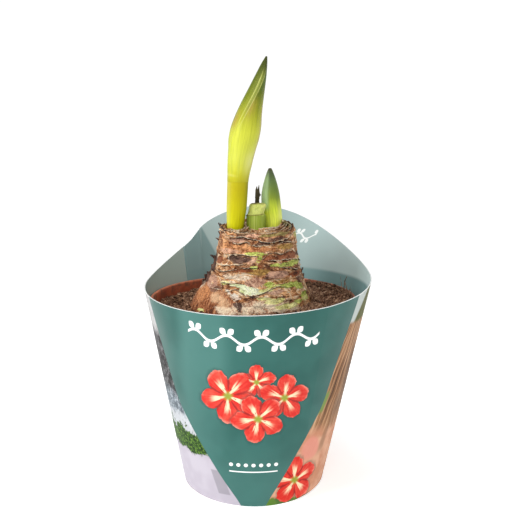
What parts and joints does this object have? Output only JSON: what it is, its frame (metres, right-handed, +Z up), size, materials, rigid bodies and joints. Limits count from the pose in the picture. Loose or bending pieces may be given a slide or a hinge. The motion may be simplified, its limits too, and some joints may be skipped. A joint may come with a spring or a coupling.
{
  "type": "potted amaryllis bulb in a card sleeve",
  "caption": "Large papery brown flower bulb with a closed bud on a stalk and a second bud, planted in a round plastic pot that stands in a flared printed card sleeve with a raised back flap.",
  "frame": {"origin": "middle of the underside of the pot, on the surface it stands on", "axes": "+Z up, -Y to the front, where the sleeve is low, +X to the right seen from the front"},
  "size_m": [0.1636, 0.1708, 0.308],
  "materials": {
    "terracotta_plastic": "satin moulded plastic in a terracotta colour",
    "printed_card": "printed card with a glossy varnish",
    "compost": "crumbly peat compost with fibres",
    "papery_tunic": "dry papery bulb skin in torn layers",
    "flower_stalk": "smooth waxy plant skin, yellow green",
    "bud_bract": "smooth waxy plant skin, yellow green to olive at the tip",
    "young_bud": "smooth waxy plant skin, green",
    "cut_stalk": "pale soft plant tissue with a dried cut edge",
    "dead_leaf": "dry withered leaf, dark brown"
  },
  "bodies": {
    "root": {"pot": "terracotta_plastic", "sleeve": "printed_card", "soil": "compost", "bulb": "papery_tunic", "scape": "flower_stalk", "spathe": "bud_bract", "second_bud": "young_bud", "old_stalk_stump": "cut_stalk", "withered_leaf": "dead_leaf"}
  },
  "joints": []
}
